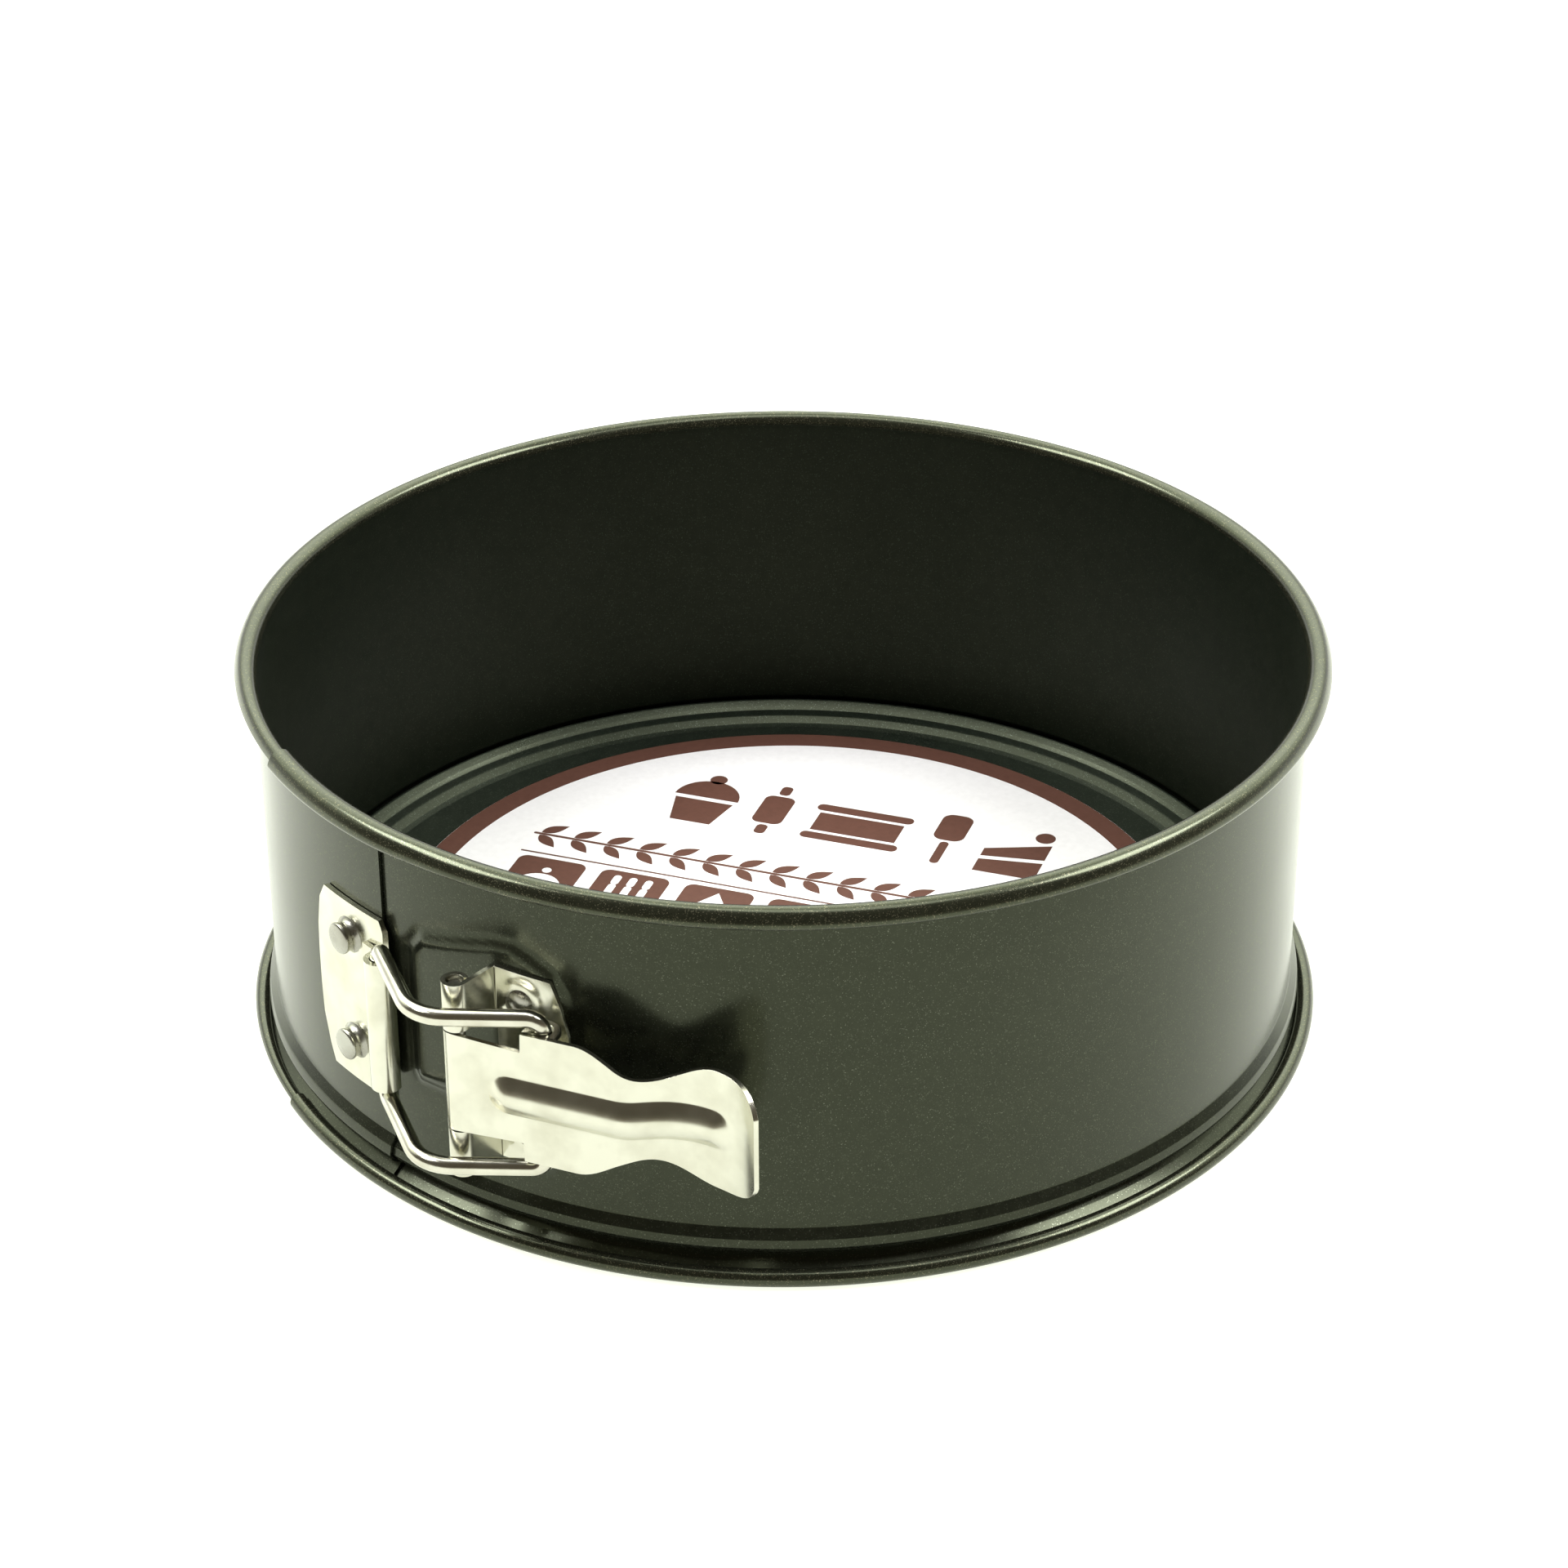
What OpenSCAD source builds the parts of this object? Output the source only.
// Springform pan: a split steel band with a rolled rim and foot, an over-centre
// wire-bail latch, and a loose base plate with a paper label on it.
// Frame: origin on the pan's axis at the plane it rests on, +Z up, latch towards -Y.
// Azimuths are in degrees about +Z from +X. Radii, heights and lengths are in mm.

/* [Band] */
// Inside radius of the wall
pan_r = 90; // [86:1:96]
// Thickness of the band's sheet
band_t = 0.45; // [0.4:0.05:0.5]
// Height of the centre of the rolled rim
rim_z = 68; // [66:0.1:80]
// Outside radius of the rolled rim
rim_curl_r = 1.9; // [1.7:0.1:2.1]
// Outside radius of the rolled foot
foot_curl_r = 1.5; // [1.4:0.1:1.6]
// How far the rolled foot is flattened where it rests
foot_flat = 0.15; // [0.1:0.05:0.2]
// Azimuth of the visible seam
seam_az = -105; // [-108:1:-104]
// How far the inner end runs on behind the seam, degrees
lap_deg = 18; // [16:1:20]
// Radial gap between the two ends where they lap
lap_gap = 0.3; // [0.3:0.05:0.4]

/* [Base] */
// Outside radius of the base plate's skirt below the wall's inside
base_gap = 0.3; // [0.3:0.1:0.6]
// Thickness of the base sheet
base_t = 0.5; // [0.45:0.05:0.6]
// Height of the skirt's lower edge
skirt_z = 4.85; // [4.8:0.05:5]
// Height of the top of the base's rim ridge
ridge_z = 8.7; // [8.5:0.1:9]
// Height of the base's floor
floor_z = 6; // [5.8:0.1:6.2]
// Radius of the paper label
label_r = 72; // [60:1:74]
// Thickness of the label's paper
label_t = 0.15; // [0.1:0.05:0.3]

/* [Latch] */
// Height of the middle of the latch
latch_z = 34.2; // [33:0.1:40]
// Azimuth of the lever's hinge pin
pin_az = -91.5; // [-92:0.5:-91]
// Distance from the wall's outside to the pin's axis
pin_off = 7.95; // [7.9:0.05:8.2]
// Radius of the hinge pin
pin_r = 1.35; // [1.3:0.05:1.4]
// Radial running clearance of pins and of the bail's bar
run_gap = 0.08; // [0.05:0.01:0.09]
// Thickness of the lever's and the bracket's sheet
latch_t = 0.8; // [0.7:0.05:0.9]
// Gap between the lever's roll and the bracket's knuckles
knuckle_gap = 0.3; // [0.3:0.05:0.4]
// Direction the closed lever's flat part points in
lever_dir = 7.7; // [7:0.1:8.5]
// Half height of the lever's roll
roll_half = 9.1; // [8.5:0.1:9.5]
// Half height of the lever at its ears
ear_half = 11.9; // [11.5:0.1:12]
// Half height of the lever's waist
waist_half = 7.25; // [6.5:0.05:8]
// Half height of the lever's thumb end
head_half = 10.85; // [10:0.05:11.5]
// Distance from the pin to the far end of the lever
lever_len = 52.6; // [51:0.1:54]
// Half width of the lever's pressed rib
rib_half = 3.3; // [2.8:0.1:3.6]
// Height that the rib stands out
rib_rise = 1.3; // [1:0.1:1.5]
// Where the wire's ends enter the ears: along the lever, and out from the pin
ear_u = 14.8; // [14.5:0.1:15]
ear_v = -0.3; // [-0.5:0.1:-0.2]
// Radius of the bail's wire
wire_r = 1.5; // [1.4:0.05:1.5]
// Half the distance between the bail's two arms
bail_half = 14; // [14:0.1:14.2]
// Azimuth of the bail's bar in the catch plate
bar_az = -103.5; // [-104:0.5:-103]
// Distance from the wall's outside to the bar's axis
bar_off = 3.75; // [3.7:0.05:4]
// Inside radius of the bail's bend
bend_r = 6; // [5:0.5:7]
// Height of the middle of the catch plate
catch_z = 34.3; // [34:0.1:36]
// Height of the catch plate
catch_h = 34.2; // [34:0.1:37]
// Thickness of the catch plate
catch_t = 0.9; // [0.8:0.05:1]

/* [Hidden] */
$fn = 96;

wall_r = pan_r + band_t;              // outside of the wall
tail_az = seam_az - lap_deg;          // where the inner end stops
flex_az = seam_az + 180;              // the back, opposite the seam, where the band flexes
end_gap = 0.4;                        // degrees between the inner end and the step behind it
lap_r = wall_r + lap_gap;             // inside of the outer end over the lap
plate_r = lap_r + band_t;             // face that the catch plate lies on
foot_r = pan_r + 3.5;                 // centre of the rolled foot
foot_cz = foot_curl_r - foot_flat;
bead_top = 9.7;                       // where the wall ends and the base bead starts
emboss_rise = 0.9;                    // raised field that the bracket is riveted to
seat_r = wall_r + emboss_rise;
bracket_az = -86;
bracket_bend = -6.3;                  // tangential place of the bend to the knuckles
bracket_half = 18;                    // half height of the bracket
tongue_in = 0.2;                      // how far the tongues stop short of the flat part's ends
bracket_rivet_dz = 12.55;
bracket_rivet_s = -0.6;
catch_az = -109.6;
catch_rivet_az = -110.2;
catch_rivet_dz = 10.2;
catch_rivet_z = 34.8;
shank_r = 1.5;
hole_gap = 0.05;
roll_r = pin_r + run_gap + latch_t;   // outside of the lever's roll and the knuckles
bar_bore = wire_r + run_gap;
bar_roll_r = bar_bore + 1.1;
stub_r = 2.7;
stub_h = 2.1;

function polar(r, a) = [r * cos(a), r * sin(a)];
function unit(v) = v / norm(v);
function left(v) = [-v[1], v[0]];
function ease(t) = (1 - cos(180 * min(max(t, 0), 1))) / 2;
function backwards(p) = [for (i = [len(p) - 1:-1:0]) p[i]];

// One side of a sheet that follows a line of points, mitred at each of them.
function sheet_side(p, s) = [for (i = [0:len(p) - 1])
    let (a = left(unit(p[min(i + 1, len(p) - 1)] - p[min(i, len(p) - 2)])),
         b = left(unit(p[max(i, 1)] - p[max(i - 1, 0)])),
         n = unit(a + b))
    p[i] + n * s / (n * a)];
// A sheet's section: t thick, along the points of its middle.
function sheet(p, t) = concat(sheet_side(p, t / 2), backwards(sheet_side(p, -t / 2)));

pin_at = polar(wall_r + pin_off, pin_az);
bar_at = polar(wall_r + bar_off, bar_az);
lever_u = [cos(lever_dir), sin(lever_dir)];
lever_v = [sin(lever_dir), -cos(lever_dir)];
ear_at = pin_at + ear_u * lever_u + ear_v * lever_v;
bail_dir = atan2(ear_at[1] - bar_at[1], ear_at[0] - bar_at[0]);
bail_len = norm(ear_at - bar_at);
bail_corner = [17.8, -11.7];          // where the straight parts of an arm would meet

// Turns a flat outline (across, up) into a solid that looks outward at azimuth a.
module facing(a) { rotate([0, 0, a]) rotate([90, 0, 90]) children(); }
module radial(a, z) { rotate([0, 0, a]) translate([0, 0, z]) rotate([0, 90, 0]) children(); }
module sector(from, to) { rotate([0, 0, from]) rotate_extrude(angle = to - from) children(); }
module wall_piece(r, t, z0, z1) { translate([r, z0]) square([t, z1 - z0]); }
module shell(r, t, from, to, z0, z1) { sector(from, to) wall_piece(r, t, z0, z1); }
module curl(r, z, radius, t) {
    translate([r, z]) difference() {
        circle(r = radius, $fn = 48);
        circle(r = radius - t, $fn = 48);
    }
}

// Section of the band: rolled rim, wall, bead that holds the base, neck, flare and rolled foot.
module band_section() {
    mid = pan_r + band_t / 2;
    curl(pan_r + rim_curl_r, rim_z, rim_curl_r, band_t);
    polygon(sheet([[mid, rim_z], [mid, bead_top], [mid + 1.6, bead_top - 1.5],
        [mid + 1.9, bead_top - 3.1], [mid + 1.2, 5.1], [mid - 1.1, 4], [mid - 1.1, 3.3],
        [mid + 1.3, 2.5], [mid + 2.1, 1.8]], band_t));
    intersection() {
        curl(foot_r, foot_cz, foot_curl_r, band_t);
        translate([foot_r - 5, 0]) square([10, 10]);
    }
}

// Outline of the raised field: across from its middle, up from the latch's middle.
function field(inset) = [[-18.8 + inset, -9.5], [-17.5 + inset, -11.8 + inset],
    [-10.5, -11.6 + inset], [-5, -19 + inset], [10 - inset, -20 + inset], [15 - inset, -12],
    [15.5 - inset, 12], [11.5 - inset, 18.7 - inset], [3.4, 22.9 - inset],
    [-0.6, 22.6 - inset], [-15.6 + inset, 18.7 - inset], [-18.8 + inset, 14.5]];
module field_block(inset, r0, r1) {
    intersection() {
        facing(-90) translate([0, latch_z, 70]) linear_extrude(40) polygon(field(inset));
        shell(r0, r1 - r0, -115, -65, 5, 65);
    }
}
module rivet_holes(a, z, dz, r) {
    for (s = [-1, 1]) radial(a, z + s * dz) translate([0, 0, 80]) cylinder(r = r, h = 30);
}

bracket_rivet_az = bracket_az + bracket_rivet_s;
hole_r = shank_r + hole_gap;

// The band's half with the latch lever; its end runs on behind the seam.
module side_band_lever_half() {
    color([0.27, 0.28, 0.25]) difference() {
        union() {
            sector(tail_az, flex_az - 0.05) band_section();
            difference() {
                field_block(0, pan_r, seat_r);
                field_block(band_t, pan_r - 1, seat_r - band_t);
            }
        }
        field_block(band_t + 0.2, pan_r - 1, seat_r - band_t);
        rivet_holes(bracket_rivet_az, latch_z + 0.4, bracket_rivet_dz, hole_r);
    }
}

// The band's half with the catch; its end steps out and lies over the other one.
module side_band_catch_half() {
    step_az = 360 + tail_az - end_gap;
    seam = 360 + seam_az;
    low = bead_top + 0.9;
    high = rim_z - rim_curl_r - 0.6;
    color([0.29, 0.3, 0.27]) difference() {
        union() {
            sector(flex_az + 0.05, step_az) band_section();
            shell(pan_r, plate_r - pan_r, step_az - 0.4, step_az, low, high);
            shell(lap_r, band_t, step_az - 0.4, seam, low, high);
        }
        rivet_holes(catch_rivet_az, catch_rivet_z, catch_rivet_dz, hole_r);
    }
}

// Base plate: a skirt that stands on the neck, a ridge, a flat ring and a sunk floor.
module base_plate() {
    r = pan_r - base_gap - base_t / 2;
    top = ridge_z - base_t / 2;
    mid = floor_z - base_t / 2;
    color([0.24, 0.25, 0.22]) rotate_extrude($fn = 128)
        polygon(sheet([[r, skirt_z], [r, top - 0.8], [r - 0.5, top - 0.2], [r - 1, top],
            [r - 1.6, top - 0.3], [r - 2.4, top - 1], [pan_r - 7, top - 1.05],
            [pan_r - 8.4, top - 1.3], [pan_r - 10, mid], [0, mid]], base_t));
}

// Round paper label lying on the floor, a little off centre as it was laid in.
module label_disc() {
    color([0.96, 0.95, 0.94]) translate([-2.9, 6.4, floor_z]) cylinder(r = label_r, h = label_t);
}

// Catch plate riveted over the seam's outer end, its edge rolled round the bail's bar.
module catch_plate() {
    half = catch_h / 2;
    color([0.86, 0.86, 0.8]) difference() {
        union() {
            intersection() {
                facing(catch_az) translate([0, catch_z, 70]) linear_extrude(40)
                    polygon([[-7.5, half], [-9.3, half - 3], [-10.3, half / 2], [-10.6, 0],
                        [-10.3, -half / 2], [-8.8, -half + 3], [-7.5, -half], [4, -half],
                        [6.4, -bail_half + wire_r], [8.6, -bail_half + wire_r],
                        [8.6, half - 2], [7.6, half]]);
                shell(plate_r, catch_t, -125, -95, 0, 70);
            }
            translate([bar_at[0], bar_at[1], latch_z - bail_half + wire_r + 0.3])
                cylinder(r = bar_roll_r, h = 2 * (bail_half - wire_r - 0.3));
        }
        translate([bar_at[0], bar_at[1], 0]) cylinder(r = bar_bore, h = 80);
        rivet_holes(catch_rivet_az, catch_rivet_z, catch_rivet_dz, hole_r);
    }
}

// Rivet with a tall stub head that flares where it meets the plate.
module stub_rivet(a, z) {
    base = plate_r + catch_t;
    color([0.75, 0.75, 0.7]) radial(a, z) rotate_extrude()
        polygon([[0, lap_r + 0.05], [shank_r, lap_r + 0.05], [shank_r, base + 0.05],
            [stub_r + 0.5, base + 0.05], [stub_r + 0.1, base + 0.5], [stub_r - 0.1, base + 1.2],
            [stub_r - 0.1, base + stub_h - 0.4], [stub_r - 0.5, base + stub_h], [0, base + stub_h + 0.2]]);
}
module catch_rivet_upper() { stub_rivet(catch_rivet_az, catch_rivet_z + catch_rivet_dz); }
module catch_rivet_lower() { stub_rivet(catch_rivet_az, catch_rivet_z - catch_rivet_dz); }

// An arm of the bail in plan: straight from the bar, a bend, and straight to the lever's ear.
arm_ear = [bail_len, 0];
arm_in = unit(bail_corner);
arm_out = unit(arm_ear - bail_corner);
arm_turn = atan2(arm_out[1], arm_out[0]) - atan2(arm_in[1], arm_in[0]);
arm_bend = bend_r + wire_r;
arm_cut = arm_bend * tan(arm_turn / 2);
arm_centre = bail_corner - arm_cut * arm_in + arm_bend * left(arm_in);
arm_slim = 0.01;                      // the arms are this much slimmer than the bar
bend_slim = 0.03;
bend_over = 2;                        // degrees that the bend runs on into the straight parts

module straight_wire(p, q, r) {
    d = q - p;
    translate(p) rotate([0, 90, atan2(d[1], d[0])]) cylinder(r = r, h = norm(d), $fn = 32);
}
module bail_arm() {
    straight_wire([0, 0], bail_corner - arm_cut * arm_in, wire_r - arm_slim);
    translate(arm_centre) rotate([0, 0, atan2(arm_in[1], arm_in[0]) - 90 - bend_over])
        rotate_extrude(angle = arm_turn + 2 * bend_over)
            translate([arm_bend, 0]) circle(r = wire_r - bend_slim, $fn = 32);
    straight_wire(bail_corner + arm_cut * arm_out, arm_ear + 0.9 * wire_r * arm_out, wire_r - arm_slim);
}

// Bail: a bar in the catch plate's roll and two arms bent round the lever's hinge.
module bail_wire() {
    color([0.84, 0.84, 0.78]) translate([bar_at[0], bar_at[1], latch_z]) rotate([0, 0, bail_dir]) {
        translate([0, 0, -bail_half - wire_r]) cylinder(r = wire_r, h = 2 * (bail_half + wire_r), $fn = 32);
        for (z = [-bail_half, bail_half]) translate([0, 0, z]) bail_arm();
    }
}

// Bracket: riveted flat part, and two tongues that stand out and roll round the pin.
module lever_bracket() {
    half = bracket_half;
    bend = polar(seat_r + latch_t / 2, bracket_az + atan2(bracket_bend + 0.4, seat_r));
    // the tongue's middle meets the knuckle's on the side away from the catch
    side = pin_at - (roll_r - latch_t / 2 - 0.06) * unit(left(bend - pin_at));
    inner = roll_half + knuckle_gap;
    color([0.83, 0.83, 0.76]) difference() {
        union() {
            intersection() {
                facing(bracket_az) translate([0, latch_z, 70]) linear_extrude(40)
                    polygon([[bracket_bend, -half], [3, -half], [5.2, -half + 2], [7.1, -half + 9],
                        [7.1, half - 10], [5.9, half - 5], [4.2, half - 0.5], [bracket_bend, half]]);
                shell(seat_r, latch_t, -100, -75, 0, 70);
            }
            for (z0 = [-half + tongue_in, inner]) translate([0, 0, latch_z + z0])
                linear_extrude(half - inner - tongue_in) polygon(sheet([bend, side], latch_t));
            for (z0 = [-half, inner]) translate([pin_at[0], pin_at[1], latch_z + z0])
                cylinder(r = roll_r, h = half - inner, $fn = 48);
        }
        translate([pin_at[0], pin_at[1], 0]) cylinder(r = pin_r + hole_gap, h = 80, $fn = 48);
        rivet_holes(bracket_rivet_az, latch_z + 0.4, bracket_rivet_dz, hole_r);
    }
}

// Rivet with a low domed head outside and a flat one inside the band's raised field.
module dome_rivet(a, z) {
    base = seat_r + latch_t + 0.02;
    back = seat_r - band_t - 0.02;
    head = 2.5;
    rise = 1.1;
    color([0.8, 0.8, 0.74]) radial(a, z) rotate_extrude()
        polygon(concat([[0, back - 0.5], [2.2, back - 0.4], [2.2, back], [shank_r, back], [shank_r, base]],
            [for (k = [0:15:90]) [head * cos(k), base + rise * sin(k)]]));
}
module bracket_rivet_upper() { dome_rivet(bracket_rivet_az, latch_z + 0.4 + bracket_rivet_dz); }
module bracket_rivet_lower() { dome_rivet(bracket_rivet_az, latch_z + 0.4 - bracket_rivet_dz); }

// Pin that the lever turns on, held in the bracket's knuckles.
module hinge_pin() {
    color([0.7, 0.7, 0.66]) translate([pin_at[0], pin_at[1], latch_z - bracket_half + 0.6])
        cylinder(r = pin_r, h = 2 * bracket_half - 1.2, $fn = 48);
}

// Middle of the lever's sheet in plan: flat, then a kink towards the wall and a curve away.
kink_u = 29.5;
curve_u = 40.5;
curve_r = 16;
curve_dip = -1.87;
curve_from = -26;
curve_to = 46;
function lever_plan(rise) = concat([[0, roll_r - latch_t / 2 + rise], [kink_u, roll_r - latch_t / 2 + rise]],
    [for (k = [curve_from:6:curve_to])
        [curve_u + (curve_r - rise) * sin(k), curve_dip + curve_r - (curve_r - rise) * cos(k)]]);
function mirror_v(p) = [for (q = p) [q[0], -q[1]]];

// Half height of the lever at a distance u from the pin, beyond the ears.
shoulder_u = 21;
waist_u = 32.5;
head_u = 44;
function lever_half(u) =
    u < waist_u ? ear_half + (waist_half - ear_half) * ease((u - shoulder_u) / (waist_u - shoulder_u))
    : u < head_u ? waist_half + (head_half - waist_half) * ease((u - waist_u) / (head_u - waist_u))
    : head_half * pow(max(1 - pow((u - head_u) / (lever_len - head_u), 3), 0), 1 / 3);
notch_u = 11.9;
tip_steps = 8;
lever_edge = concat([[0, roll_half], [notch_u, roll_half - 0.6], [notch_u, ear_half], [shoulder_u, ear_half]],
    [for (u = [shoulder_u + 1.5:1.5:head_u]) [u, lever_half(u)]],
    [for (k = [1:tip_steps - 1]) let (u = head_u + (lever_len - head_u) * sin(90 * k / tip_steps))
        [u, lever_half(u)]]);

module lever() {
    rib_a = 6 + rib_half;             // centres of the rib's round ends
    rib_b = 47 - rib_half;
    color([0.88, 0.88, 0.82]) translate([pin_at[0], pin_at[1], latch_z]) rotate([0, 0, lever_dir])
    difference() {
        union() {
            intersection() {
                rotate([90, 0, 0]) translate([0, 0, -30]) linear_extrude(60)
                    polygon(concat(lever_edge, backwards(mirror_v(lever_edge))));
                translate([0, 0, -20]) linear_extrude(40) polygon(sheet(mirror_v(lever_plan(0)), latch_t));
            }
            intersection() {
                rotate([90, 0, 0]) translate([0, 0, -30]) linear_extrude(60) union() {
                    translate([rib_a, -rib_half]) square([rib_b - rib_a, 2 * rib_half]);
                    for (u = [rib_a, rib_b]) translate([u, 0]) circle(r = rib_half, $fn = 32);
                }
                translate([0, 0, -20]) linear_extrude(40)
                    polygon(sheet(mirror_v(lever_plan(rib_rise / 2 + latch_t / 4)), rib_rise));
            }
            for (z = [-ear_half, ear_half - latch_t]) translate([0, 0, z]) linear_extrude(latch_t) union() {
                translate([ear_u, -ear_v]) circle(r = 2.9, $fn = 48);
                translate([ear_u - 2.9, -roll_r + 0.2]) square([5.8, roll_r - ear_v - 0.2]);
            }
            translate([0, 0, -roll_half]) cylinder(r = roll_r, h = 2 * roll_half, $fn = 48);
        }
        translate([0, 0, -20]) cylinder(r = pin_r + run_gap, h = 40, $fn = 48);
        translate([ear_u, -ear_v, -20]) cylinder(r = wire_r + 0.2, h = 40, $fn = 48);
    }
}

side_band_lever_half();
side_band_catch_half();
base_plate();
label_disc();
catch_plate();
catch_rivet_upper();
catch_rivet_lower();
bail_wire();
lever_bracket();
bracket_rivet_upper();
bracket_rivet_lower();
hinge_pin();
lever();
